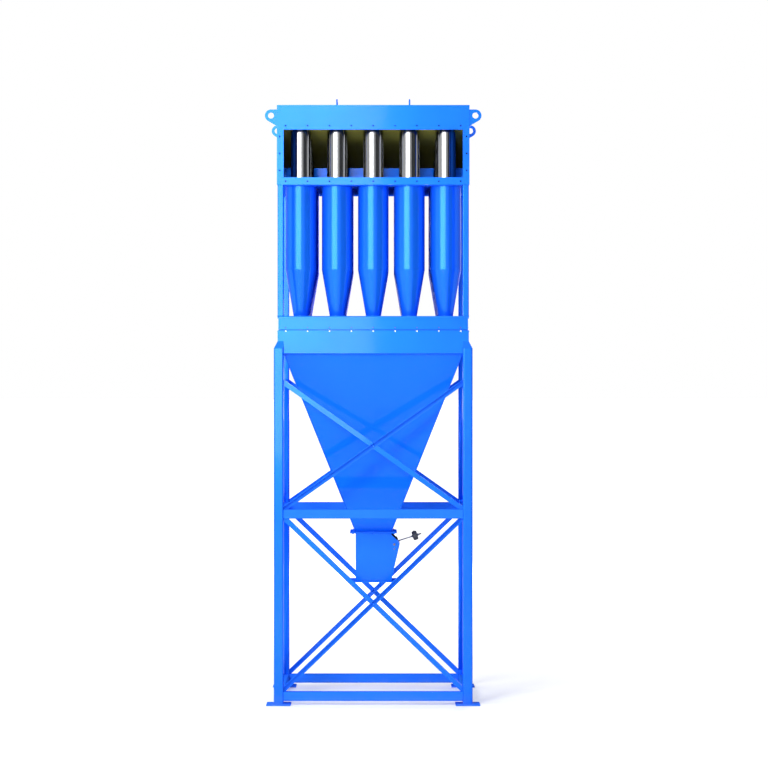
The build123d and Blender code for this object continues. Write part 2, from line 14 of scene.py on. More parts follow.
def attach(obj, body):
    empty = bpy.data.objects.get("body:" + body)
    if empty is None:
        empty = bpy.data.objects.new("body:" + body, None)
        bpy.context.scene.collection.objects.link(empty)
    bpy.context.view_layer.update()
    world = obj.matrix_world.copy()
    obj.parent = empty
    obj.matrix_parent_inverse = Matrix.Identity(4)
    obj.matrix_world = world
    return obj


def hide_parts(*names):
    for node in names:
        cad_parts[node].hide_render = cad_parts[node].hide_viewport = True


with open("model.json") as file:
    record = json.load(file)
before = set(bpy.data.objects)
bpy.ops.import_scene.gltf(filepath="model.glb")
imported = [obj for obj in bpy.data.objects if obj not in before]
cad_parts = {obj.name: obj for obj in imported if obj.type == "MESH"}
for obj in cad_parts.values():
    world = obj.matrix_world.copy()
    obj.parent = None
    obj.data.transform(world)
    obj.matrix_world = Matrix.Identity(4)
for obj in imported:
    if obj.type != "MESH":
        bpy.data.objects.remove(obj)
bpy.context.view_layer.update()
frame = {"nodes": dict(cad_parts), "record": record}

log = logging.getLogger("separator")
Colour = tuple[float, float, float]
Point = tuple[float, float, float]
FaceTest = Callable[[Vector, Vector], bool]
UP = Vector((0.0, 0.0, 1.0))
HEX_SIDES = 6
WASHER_SIDES = 20
THREAD_SIDES = 14
SCREW_SIDES = 18
TOP_FACE = 0.9
TOUCH = 1e-5
SMOOTH_ANGLE = math.radians(38.0)
COAT_ROUGHNESS = 0.06
DUST_COLOUR = (0.2, 0.24, 0.32)
DUST_HEIGHT = 0.1


class Body(Enum):
    """The bodies that pieces ride on."""

    SEPARATOR = "separator"
    FLAP = "flap_valve"


class Grain(Enum):
    """What a finish shows close up."""

    ORANGE_PEEL = "sprayed paint"
    DRAWN = "drawn tube"
    SPANGLE = "zinc spangle"
    CAST = "cast skin"


class Graph:
    """A material's node graph, wired from the Object coordinates to one shader."""

    def __init__(self, name: str) -> None:
        """Make an empty material with its shader.

        Args:
            name: Name of the material.
        """
        self.material = bpy.data.materials.new(name)
        self.material.use_nodes = True
        self.nodes = self.material.node_tree.nodes
        self.links = self.material.node_tree.links
        self.shader = self.nodes["Principled BSDF"]
        self.place = self.nodes.new("ShaderNodeTexCoord").outputs["Object"]

    def noise(self, scale: float, detail: float, stretch: Point = (1.0, 1.0, 1.0)) -> bpy.types.NodeSocket:
        """Add a noise on the Object coordinates.

        Args:
            scale: Waves to the metre.
            detail: Octaves of finer waves.
            stretch: Scale along each axis.

        Returns:
            The noise's value socket.
        """
        mapping = self.nodes.new("ShaderNodeMapping")
        mapping.inputs["Scale"].default_value = stretch
        noise = self.nodes.new("ShaderNodeTexNoise")
        noise.inputs["Scale"].default_value = scale
        noise.inputs["Detail"].default_value = detail
        self.links.new(self.place, mapping.inputs["Vector"])
        self.links.new(mapping.outputs["Vector"], noise.inputs["Vector"])
        return noise.outputs["Fac"]

    def cells(self, scale: float) -> bpy.types.NodeSocket:
        """Add a field of flat cells, each of its own grey.

        Args:
            scale: Cells to the metre.

        Returns:
            The cells' grey socket.
        """
        cells = self.nodes.new("ShaderNodeTexVoronoi")
        cells.inputs["Scale"].default_value = scale
        split = self.nodes.new("ShaderNodeSeparateColor")
        self.links.new(self.place, cells.inputs["Vector"])
        self.links.new(cells.outputs["Color"], split.inputs["Color"])
        return split.outputs["Red"]

    def spread(self, value: bpy.types.NodeSocket, low: float, high: float,
               start: float = 0.3, end: float = 0.7) -> bpy.types.NodeSocket:
        """Map a value from one range to another.

        Args:
            value: The socket to map.
            low: Result at start.
            high: Result at end.
            start: Value that gives low.
            end: Value that gives high.

        Returns:
            The mapped socket.
        """
        ramp = self.nodes.new("ShaderNodeMapRange")
        ramp.inputs["From Min"].default_value = start
        ramp.inputs["From Max"].default_value = end
        ramp.inputs["To Min"].default_value = low
        ramp.inputs["To Max"].default_value = high
        self.links.new(value, ramp.inputs["Value"])
        return ramp.outputs["Result"]

    def blend(self, share: bpy.types.NodeSocket, first: Colour | bpy.types.NodeSocket,
              second: Colour) -> bpy.types.NodeSocket:
        """Mix two colours by a share.

        Args:
            share: Socket that runs from 0, the first colour, to 1, the second.
            first: A colour, or the socket of one.
            second: A colour.

        Returns:
            The mixed colour's socket.
        """
        mix = self.nodes.new("ShaderNodeMix")
        mix.data_type = "RGBA"
        self.links.new(share, mix.inputs["Factor"])
        if isinstance(first, bpy.types.NodeSocket):
            self.links.new(first, mix.inputs["A"])
        else:
            mix.inputs["A"].default_value = (*first, 1.0)
        mix.inputs["B"].default_value = (*second, 1.0)
        return mix.outputs["Result"]

    def height(self) -> bpy.types.NodeSocket:
        """Give the height above the ground.

        Returns:
            The socket of the height, in metres.
        """
        split = self.nodes.new("ShaderNodeSeparateXYZ")
        self.links.new(self.place, split.inputs["Vector"])
        return split.outputs["Z"]

    def product(self, first: bpy.types.NodeSocket, second: bpy.types.NodeSocket) -> bpy.types.NodeSocket:
        """Multiply two values.

        Args:
            first: One socket.
            second: The other socket.

        Returns:
            The product's socket.
        """
        times = self.nodes.new("ShaderNodeMath")
        times.operation = "MULTIPLY"
        self.links.new(first, times.inputs[0])
        self.links.new(second, times.inputs[1])
        return times.outputs["Value"]

    def raise_surface(self, relief: bpy.types.NodeSocket, depth: float, strength: float) -> None:
        """Bump the shader's normal by a relief.

        Args:
            relief: Height from 0 to 1.
            depth: Height in metres of a full step.
            strength: Share of the bump that shows.
        """
        bump = self.nodes.new("ShaderNodeBump")
        bump.inputs["Distance"].default_value = depth
        bump.inputs["Strength"].default_value = strength
        self.links.new(relief, bump.inputs["Height"])
        self.links.new(bump.outputs["Normal"], self.shader.inputs["Normal"])

    def feed(self, socket: str, value: bpy.types.NodeSocket) -> None:
        """Link a value to one of the shader's sockets."""
        self.links.new(value, self.shader.inputs[socket])


@dataclass(frozen=True)
class Finish:
    """One finish of the separator, named as the record's material slot."""

    slot: str
    grain: Grain
    colour: Colour
    second: Colour
    smooth: float
    rough: float
    metallic: float = 0.0
    specular: float = 0.5
    coat: float = 0.0
    edge: Colour = (1.0, 1.0, 1.0)
    variant: str = ""

    def material(self) -> bpy.types.Material:
        """Make the finish's material, or give the one made before.

        Returns:
            The material.
        """
        name = f"finish_{self.slot}{self.variant}"
        found = bpy.data.materials.get(name)
        if found is not None:
            return found
        graph = Graph(name)
        graph.shader.inputs["Metallic"].default_value = self.metallic
        graph.shader.inputs["Specular IOR Level"].default_value = self.specular
        graph.shader.inputs["Specular Tint"].default_value = (*self.edge, 1.0)
        graph.shader.inputs["Coat Weight"].default_value = self.coat
        graph.shader.inputs["Coat Roughness"].default_value = COAT_ROUGHNESS
        {
            Grain.ORANGE_PEEL: self.sprayed,
            Grain.DRAWN: self.drawn,
            Grain.SPANGLE: self.spangled,
            Grain.CAST: self.cast,
        }[self.grain](graph)
        return graph.material

    def sprayed(self, graph: Graph) -> None:
        """Paint with a slow drift of tone, orange peel, and some dust near the floor.

        Args:
            graph: The material's nodes.
        """
        drift = graph.spread(graph.noise(scale=1.4, detail=3.0), low=0.0, high=1.0)
        paint = graph.blend(drift, self.colour, self.second)
        low = graph.spread(graph.height(), 1.0, 0.0, 0.0, DUST_HEIGHT)
        dust = graph.spread(graph.noise(scale=9.0, detail=6.0), low=0.0, high=0.25)
        graph.feed("Base Color", graph.blend(graph.product(low, dust), paint, DUST_COLOUR))
        graph.feed("Roughness", graph.spread(graph.noise(scale=7.0, detail=4.0), self.smooth, self.rough))
        graph.raise_surface(graph.noise(scale=160.0, detail=2.0), depth=0.0008, strength=0.06)

    def drawn(self, graph: Graph) -> None:
        """Steel with fine streaks along the tubes.

        Args:
            graph: The material's nodes.
        """
        streaks = graph.noise(scale=70.0, detail=3.0, stretch=(1.0, 1.0, 0.02))
        graph.feed("Base Color", graph.blend(graph.spread(streaks, 0.0, 1.0), self.colour, self.second))
        graph.feed("Roughness", graph.spread(streaks, self.smooth, self.rough))
        graph.raise_surface(streaks, depth=0.0003, strength=0.02)

    def spangled(self, graph: Graph) -> None:
        """Zinc with the flat crystals of its plating.

        Args:
            graph: The material's nodes.
        """
        crystals = graph.cells(scale=140.0)
        graph.feed("Base Color", graph.blend(crystals, self.colour, self.second))
        graph.feed("Roughness", graph.spread(crystals, self.smooth, self.rough, 0.0, 1.0))
        graph.raise_surface(graph.noise(scale=300.0, detail=2.0), depth=0.0003, strength=0.1)

    def cast(self, graph: Graph) -> None:
        """Iron with the sandy skin of its mould.

        Args:
            graph: The material's nodes.
        """
        sand = graph.noise(scale=420.0, detail=5.0)
        patches = graph.spread(graph.noise(scale=30.0, detail=3.0), low=0.0, high=1.0)
        graph.feed("Base Color", graph.blend(patches, self.colour, self.second))
        graph.feed("Roughness", graph.spread(sand, self.smooth, self.rough))
        graph.raise_surface(sand, depth=0.0008, strength=0.4)


BLUE_PAINT = Finish("blue_paint", Grain.ORANGE_PEEL, (0.006, 0.133, 0.84), (0.008, 0.148, 0.9), 0.2, 0.27,
                    metallic=0.38, specular=0.0, coat=0.25, edge=(0.0, 0.1, 0.6))
# Painted light: these two are lighter copies of the same blue paint, used on parts whose gloss is turned
# down. Their colour is lifted so that these parts come out about as bright as the lit glossy blue; they are
# not a different paint.
SATIN_BLUE_PAINTED_LIGHT = Finish("blue_paint", Grain.ORANGE_PEEL, (0.019, 0.166, 0.87), (0.023, 0.181, 0.93), 0.6, 0.75,
                    specular=0.0, variant="_satin_painted_light")
COATED_BLUE_PAINTED_LIGHT = Finish("blue_paint", Grain.ORANGE_PEEL, (0.004, 0.147, 0.86), (0.006, 0.159, 0.92), 0.6, 0.75,
                     specular=0.0, coat=0.25, variant="_coated_painted_light")
POLISHED_STEEL = Finish("polished_steel", Grain.DRAWN, (0.33, 0.335, 0.345), (0.28, 0.285, 0.295), 0.1, 0.15,
                        metallic=1.0)
OLIVE_PRIMER = Finish("olive_primer", Grain.ORANGE_PEEL, (0.46, 0.44, 0.085), (0.4, 0.38, 0.075), 0.5, 0.65,
                      specular=0.2)
DARK_LID = Finish("dark_lid", Grain.ORANGE_PEEL, (0.016, 0.019, 0.03), (0.024, 0.028, 0.042), 0.5, 0.65,
                  specular=0.0)
ZINC_STEEL = Finish("zinc_steel", Grain.SPANGLE, (0.24, 0.245, 0.255), (0.32, 0.325, 0.335), 0.25, 0.4,
                    metallic=1.0)
# Painted shade and painted light: a darker and a lighter copy of the same zinc. The darker one makes the
# shaft end and the casing bolts mirror less light. The lighter one makes the rim bolts show as bright glints.
ZINC_PAINTED_SHADE = Finish("zinc_steel", Grain.SPANGLE, (0.1, 0.105, 0.115), (0.14, 0.145, 0.155), 0.35, 0.5,
                   metallic=1.0, variant="_zinc_painted_shade")
ZINC_PAINTED_LIGHT = Finish("zinc_steel", Grain.SPANGLE, (0.52, 0.53, 0.55), (0.62, 0.63, 0.65), 0.2, 0.35,
                     metallic=1.0, variant="_zinc_painted_light")
DARK_IRON = Finish("dark_iron", Grain.CAST, (0.045, 0.048, 0.052), (0.07, 0.074, 0.08), 0.45, 0.65,
                   metallic=0.3)
FINISHES = (BLUE_PAINT, POLISHED_STEEL, OLIVE_PRIMER, DARK_LID, ZINC_STEEL, DARK_IRON)
# Parts dressed in a lighter or darker copy of their slot's finish instead of the finish itself: painted light
# and painted shade.
NODE_FINISHES = {
    "lower_tube_sheet": SATIN_BLUE_PAINTED_LIGHT,
    "hopper_front_wall": COATED_BLUE_PAINTED_LIGHT,
    "hopper_right_wall": COATED_BLUE_PAINTED_LIGHT,
    "hopper_back_wall": COATED_BLUE_PAINTED_LIGHT,
    "hopper_left_wall": COATED_BLUE_PAINTED_LIGHT,
    "hopper_neck_flange": SATIN_BLUE_PAINTED_LIGHT,
    "valve_top_flange": SATIN_BLUE_PAINTED_LIGHT,
    "valve_outlet_flange": SATIN_BLUE_PAINTED_LIGHT,
    "bottom_beams": SATIN_BLUE_PAINTED_LIGHT,
    "mid_beams": SATIN_BLUE_PAINTED_LIGHT,
    "foot_plates": SATIN_BLUE_PAINTED_LIGHT,
    "outer_upper_braces": SATIN_BLUE_PAINTED_LIGHT,
    "outer_lower_braces": SATIN_BLUE_PAINTED_LIGHT,
    "spigot_sheet": SATIN_BLUE_PAINTED_LIGHT,
    "roof": SATIN_BLUE_PAINTED_LIGHT,
    "flap_shaft": ZINC_PAINTED_SHADE,
}


class Bench:
    """Hand operations on one mesh at a time."""

    @staticmethod
    def clear() -> None:
        """Leave edit mode and deselect everything."""
        if bpy.context.object is not None and bpy.context.object.mode != "OBJECT":
            bpy.ops.object.mode_set(mode="OBJECT")
        bpy.ops.object.select_all(action="DESELECT")

    @staticmethod
    def take(piece: bpy.types.Object) -> None:
        """Make a piece the only one selected, and the active one.

        Args:
            piece: The piece to take.
        """
        Bench.clear()
        piece.select_set(True)
        bpy.context.view_layer.objects.active = piece

    @staticmethod
    def settle(piece: bpy.types.Object) -> bpy.types.Object:
        """Put a piece's place and size into its mesh.

        Args:
            piece: The piece.

        Returns:
            The same piece, at the origin.
        """
        Bench.take(piece)
        bpy.ops.object.transform_apply(location=True, rotation=True, scale=True)
        return piece

    @staticmethod
    def pick(piece: bpy.types.Object, test: FaceTest) -> None:
        """Enter edit mode with some faces selected.

        Args:
            piece: The piece.
            test: Says from a face's middle and normal whether it is taken.
        """
        Bench.take(piece)
        bpy.ops.object.mode_set(mode="EDIT")
        bpy.ops.mesh.select_mode(type="FACE")
        bpy.ops.mesh.select_all(action="DESELECT")
        bpy.ops.object.mode_set(mode="OBJECT")
        for face in piece.data.polygons:
            face.select = test(face.center, face.normal)
        bpy.ops.object.mode_set(mode="EDIT")

    @staticmethod
    def modify(piece: bpy.types.Object, kind: str, **settings: object) -> None:
        """Add a modifier, set it and apply it.

        Args:
            piece: The piece.
            kind: Blender's name for the modifier's type.
            settings: Values of the modifier's properties.
        """
        Bench.take(piece)
        modifier = piece.modifiers.new(kind.lower(), kind)
        for key, value in settings.items():
            setattr(modifier, key, value)
        bpy.ops.object.modifier_apply(modifier=modifier.name)

    @staticmethod
    def join(pieces: Sequence[bpy.types.Object]) -> bpy.types.Object:
        """Join pieces into one.

        Args:
            pieces: The pieces, of which the first lends its name.

        Returns:
            The joined piece.
        """
        Bench.take(pieces[0])
        for piece in pieces[1:]:
            piece.select_set(True)
        if len(pieces) > 1:
            bpy.ops.object.join()
        return bpy.context.object

    @staticmethod
    def repeat(model: bpy.types.Object, places: Iterable[Matrix]) -> bpy.types.Object:
        """Copy a model to several places, each copy with a mesh of its own, and join the copies.

        Args:
            model: The model, which is used up.
            places: Where each copy goes, from the model's own frame.

        Returns:
            The joined copies.
        """
        copies = []
        for place in places:
            copy = model.copy()
            copy.data = model.data.copy()
            copy.data.transform(place)
            if place.determinant() < 0:
                copy.data.flip_normals()
            bpy.context.scene.collection.objects.link(copy)
            copies.append(copy)
        bpy.data.objects.remove(model)
        return Bench.join(copies)

    @staticmethod
    def deliver(piece: bpy.types.Object, name: str, finish: Finish,
                body: Body = Body.SEPARATOR) -> bpy.types.Object:
        """Name, shade and dress a finished piece, and set it on its body.

        Args:
            piece: The piece.
            name: Its name.
            finish: Its finish.
            body: The body that it rides on.

        Returns:
            The same piece.
        """
        Bench.settle(piece)
        bpy.ops.object.shade_smooth_by_angle(angle=SMOOTH_ANGLE)
        piece.name = name
        piece.data.name = name
        piece.data.materials.clear()
        piece.data.materials.append(finish.material())
        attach(piece, body.value)
        log.info("%s: %d faces, %s, on %s", name, len(piece.data.polygons), finish.slot, body.value)
        return piece


def facing(point: Sequence[float], normal: Sequence[float]) -> Matrix:
    """Place something that is modelled on the ground, upwards, on a surface.

    Args:
        point: Point on the surface.
        normal: The surface's outward direction.

    Returns:
        The matrix of that place.
    """
    turn = UP.rotation_difference(Vector(normal).normalized())
    return Matrix.Translation(Vector(point)) @ turn.to_matrix().to_4x4()


def shifted(x: float, y: float, z: float) -> Matrix:
    """Give the matrix of a plain shift."""
    return Matrix.Translation(Vector((x, y, z)))


def at_corners(x: float, y: float, z: float) -> list[Matrix]:
    """Shift a model to the four corners of the plan.

    Args:
        x: Half the width between the corners.
        y: Half the depth between the corners.
        z: Height.

    Returns:
        One matrix a corner.
    """
    return [shifted(sx * x, sy * y, z) for sx in (-1, 1) for sy in (-1, 1)]


def mirrored_corners() -> list[Matrix]:
    """Give the mirrors that carry a model at the right back corner to all four."""
    return [Matrix.Diagonal((sx, sy, 1.0, 1.0)) for sx in (-1.0, 1.0) for sy in (-1.0, 1.0)]


@dataclass
class Fastener:
    """A hex bolt head or nut on its washer, and a socket screw, all standing on the ground.

    The edges, rims and depths from head_edge on are shares of the size that each belongs to.
    """

    flats: float = 0.018
    head_h: float = 0.008
    washer_d: float = 0.022
    washer_t: float = 0.0025
    thread_d: float = 0.012
    thread_out: float = 0.006
    head_edge: float = 0.09
    washer_edge: float = 0.3
    thread_edge: float = 0.12
    screw_edge: float = 0.08
    dish_rim: float = 0.1
    dish_depth: float = 0.06
    socket_rim: float = 0.16
    socket_depth: float = 0.6

    def disc(self, sides: int, radius: float, low: float, high: float, edge: float) -> bpy.types.Object:
        """Turn a prism whose top edge is chamfered.

        Args:
            sides: Sides of the prism.
            radius: Radius at its corners.
            low: Height of its foot.
            high: Height of its top.
            edge: Width of the chamfer.

        Returns:
            The prism.
        """
        Bench.clear()
        bpy.ops.mesh.primitive_cylinder_add(
            vertices=sides, radius=radius, depth=high - edge - low,
            location=(0.0, 0.0, (low + high - edge) / 2))
        prism = Bench.settle(bpy.context.object)
        Bench.pick(prism, lambda middle, normal: normal.z > TOP_FACE)
        bpy.ops.mesh.inset(thickness=edge)
        bpy.ops.transform.translate(value=(0.0, 0.0, edge))
        bpy.ops.object.mode_set(mode="OBJECT")
        return prism

    def washer(self) -> bpy.types.Object:
        """Turn the washer."""
        edge = self.washer_t * self.washer_edge
        return self.disc(WASHER_SIDES, self.washer_d / 2, 0.0, self.washer_t, edge)

    def bolt(self) -> bpy.types.Object:
        """Model a bolt head on its washer.

        Returns:
            The head, its top slightly dished.
        """
        top = self.washer_t + self.head_h
        radius = self.flats / math.sqrt(3.0)
        head = self.disc(HEX_SIDES, radius, self.washer_t, top, self.flats * self.head_edge)
        Bench.pick(head, lambda middle, normal: normal.z > TOP_FACE and middle.z > top - TOUCH)
        bpy.ops.mesh.inset(thickness=self.flats * self.dish_rim)
        bpy.ops.transform.translate(value=(0.0, 0.0, -self.head_h * self.dish_depth))
        bpy.ops.object.mode_set(mode="OBJECT")
        return Bench.join([head, self.washer()])

    def nut(self) -> bpy.types.Object:
        """Model a nut on its washer with the end of the bolt standing out.

        Returns:
            The nut.
        """
        top = self.washer_t + self.head_h
        radius = self.flats / math.sqrt(3.0)
        nut = self.disc(HEX_SIDES, radius, self.washer_t, top, self.flats * self.head_edge)
        high = top + self.thread_out
        end = self.disc(THREAD_SIDES, self.thread_d / 2, top, high, self.thread_d * self.thread_edge)
        return Bench.join([nut, self.washer(), end])

    def socket_screw(self) -> bpy.types.Object:
        """Model a round screw head with a round socket.

        Returns:
            The screw head.
        """
        head = self.disc(SCREW_SIDES, self.flats / 2, 0.0, self.head_h, self.flats * self.screw_edge)
        Bench.pick(head, lambda middle, normal: normal.z > TOP_FACE and middle.z > self.head_h - TOUCH)
        bpy.ops.mesh.inset(thickness=self.flats * self.socket_rim)
        depth = self.head_h * self.socket_depth
        bpy.ops.mesh.extrude_region_move(TRANSFORM_OT_translate={"value": (0.0, 0.0, -depth)})
        bpy.ops.object.mode_set(mode="OBJECT")
        return head


@dataclass
class Weld:
    """A run of weld, bead on bead."""

    size: float = 0.005
    pitch: float = 0.012
    stretch: float = 1.6

    def bead(self, at: Sequence[float]) -> bpy.types.Object:
        """Model one bead, drawn out along X.

        Args:
            at: Its middle.

        Returns:
            The bead.
        """
        Bench.clear()
        bpy.ops.mesh.primitive_uv_sphere_add(segments=6, ring_count=4, radius=self.size)
        bead = bpy.context.object
        bpy.ops.object.mode_set(mode="EDIT")
        bpy.ops.mesh.select_all(action="SELECT")
        bpy.ops.transform.resize(value=(self.stretch, 1.0, 1.0))
        bpy.ops.object.mode_set(mode="OBJECT")
        bead.location = at
        return Bench.settle(bead)

    def line(self, start: Sequence[float], end: Sequence[float]) -> bpy.types.Object:
        """Lay a straight run.

        Args:
            start: First point.
            end: Last point.

        Returns:
            The run.
        """
        way = Vector(end) - Vector(start)
        count = max(2, round(way.length / self.pitch))
        run = self.bead((0.0, 0.0, 0.0))
        Bench.modify(run, "ARRAY", count=count, use_relative_offset=False, use_constant_offset=True,
                     constant_offset_displace=(way.length / (count - 1), 0.0, 0.0))
        turn = Vector((1.0, 0.0, 0.0)).rotation_difference(way.normalized())
        run.data.transform(Matrix.Translation(Vector(start)) @ turn.to_matrix().to_4x4())
        return run

    def ring(self, radius: float) -> bpy.types.Object:
        """Lay a round run about Z on the ground.

        Args:
            radius: Radius of the run.

        Returns:
            The run.
        """
        count = max(8, round(math.tau * radius / self.pitch))
        ring = self.bead((0.0, -radius, 0.0))
        Bench.pick(ring, lambda middle, normal: True)
        bpy.ops.mesh.spin(steps=count - 1, dupli=True, angle=math.tau * (count - 1) / count,
                          center=(0.0, 0.0, 0.0), axis=(0.0, 0.0, 1.0))
        bpy.ops.object.mode_set(mode="OBJECT")
        return ring

    def square(self, half: float, reach: float) -> bpy.types.Object:
        """Lay four straight runs round a square tube about Z on the ground.

        Args:
            half: Distance of the runs from the middle.
            reach: Half the length of each run.

        Returns:
            The runs.
        """
        side = self.line((-reach, -half, 0.0), (reach, -half, 0.0))
        return Bench.repeat(side, [Matrix.Rotation(math.radians(90.0 * turn), 4, "Z") for turn in range(4)])


@dataclass
class Stand:
    """The leg frame."""

    leg_x: float = 0.777
    leg_y: float = 0.627
    leg: float = 0.08
    corner_r: float = 0.012
    foot_top: float = 0.01
    brace_t: float = 0.004
    upper_cross_z: float = 2.1305
    lower_cross_z: float = 0.831

    def build(self) -> None:
        """Add the welds at the feet and the bolts where the braces cross."""
        weld = Weld().square(self.leg / 2, self.leg / 2 - self.corner_r)
        Bench.deliver(Bench.repeat(weld, at_corners(self.leg_x, self.leg_y, self.foot_top)),
                      "leg_foot_welds", BLUE_PAINT)
        heads = Bench.repeat(Fastener().bolt(), self.crossings(self.brace_t, 1.0))
        Bench.deliver(heads, "brace_cross_bolts", BLUE_PAINT)
        nuts = Bench.repeat(Fastener().nut(), self.crossings(-self.brace_t, -1.0))
        Bench.deliver(nuts, "brace_cross_nuts", BLUE_PAINT)

    def crossings(self, out: float, way: float) -> list[Matrix]:
        """Give the place on each brace crossing.

        Args:
            out: Distance outside the plane where the braces meet.
            way: 1 to face outwards, -1 to face inwards.

        Returns:
            One matrix a crossing.
        """
        places = []
        for z in (self.lower_cross_z, self.upper_cross_z):
            for s in (-1.0, 1.0):
                places.append(facing((0.0, s * (self.leg_y + out), z), (0.0, s * way, 0.0)))
                places.append(facing((s * (self.leg_x + out), 0.0, z), (s * way, 0.0, 0.0)))
        return places


@dataclass
class Hopper:
    """The hopper with its rim."""

    half_w: float = 0.737
    half_d: float = 0.587
    rim_bottom: float = 2.891
    neck_half: float = 0.15
    neck_z: float = 1.395
    flange_low: float = 1.383
    bolt_half: float = 0.172
    rim_x: float = 0.787
    rim_y: float = 0.637
    bolt_pitch: float = 0.18
    bolt_z: float = 3.074
    front_steps: int = 4
    side_steps: int = 3

    def build(self) -> None:
        """Add the corner welds, the rim's bolts and the neck's bolts."""
        corner = Weld().line((self.half_w, self.half_d, self.rim_bottom),
                             (self.neck_half, self.neck_half, self.neck_z))
        Bench.deliver(Bench.repeat(corner, mirrored_corners()), "hopper_corner_welds", BLUE_PAINT)
        rim = Fastener(flats=0.011, head_h=0.005, washer_d=0.0135)
        Bench.deliver(Bench.repeat(rim.bolt(), self.rim_places()), "rim_seam_bolts", ZINC_PAINTED_LIGHT)
        spots = [(x * self.bolt_half, y * self.bolt_half) for x in (-1, 0, 1) for y in (-1, 0, 1) if x or y]
        thin = Fastener(flats=0.013, head_h=0.005, washer_d=0.018, washer_t=0.0015,
                        thread_d=0.008, thread_out=0.002)
        heads = [facing((x, y, self.neck_z), (0.0, 0.0, 1.0)) for x, y in spots]
        Bench.deliver(Bench.repeat(thin.bolt(), heads), "neck_flange_bolts", SATIN_BLUE_PAINTED_LIGHT)
        nuts = [facing((x, y, self.flange_low), (0.0, 0.0, -1.0)) for x, y in spots]
        Bench.deliver(Bench.repeat(thin.nut(), nuts), "neck_flange_nuts", SATIN_BLUE_PAINTED_LIGHT)

    def rim_places(self) -> list[Matrix]:
        """Give the place of each bolt along the rim."""
        return seam_places(self.rim_x, self.rim_y, self.bolt_z, self.bolt_pitch,
                           self.front_steps, self.side_steps)


def seam_places(half_w: float, half_d: float, z: float, pitch: float,
                along_x: int, along_y: int) -> list[Matrix]:
    """Give places at even steps along all four sides, facing outwards.

    Args:
        half_w: Half the width between the side faces.
        half_d: Half the depth between the end faces.
        z: Height.
        pitch: Length of a step.
        along_x: Steps each way from the middle of the ends.
        along_y: Steps each way from the middle of the sides.

    Returns:
        One matrix a place.
    """
    places = []
    for s in (-1.0, 1.0):
        places += [facing((i * pitch, s * half_d, z), (0.0, s, 0.0)) for i in range(-along_x, along_x + 1)]
        places += [facing((s * half_w, i * pitch, z), (s, 0.0, 0.0)) for i in range(-along_y, along_y + 1)]
    return places


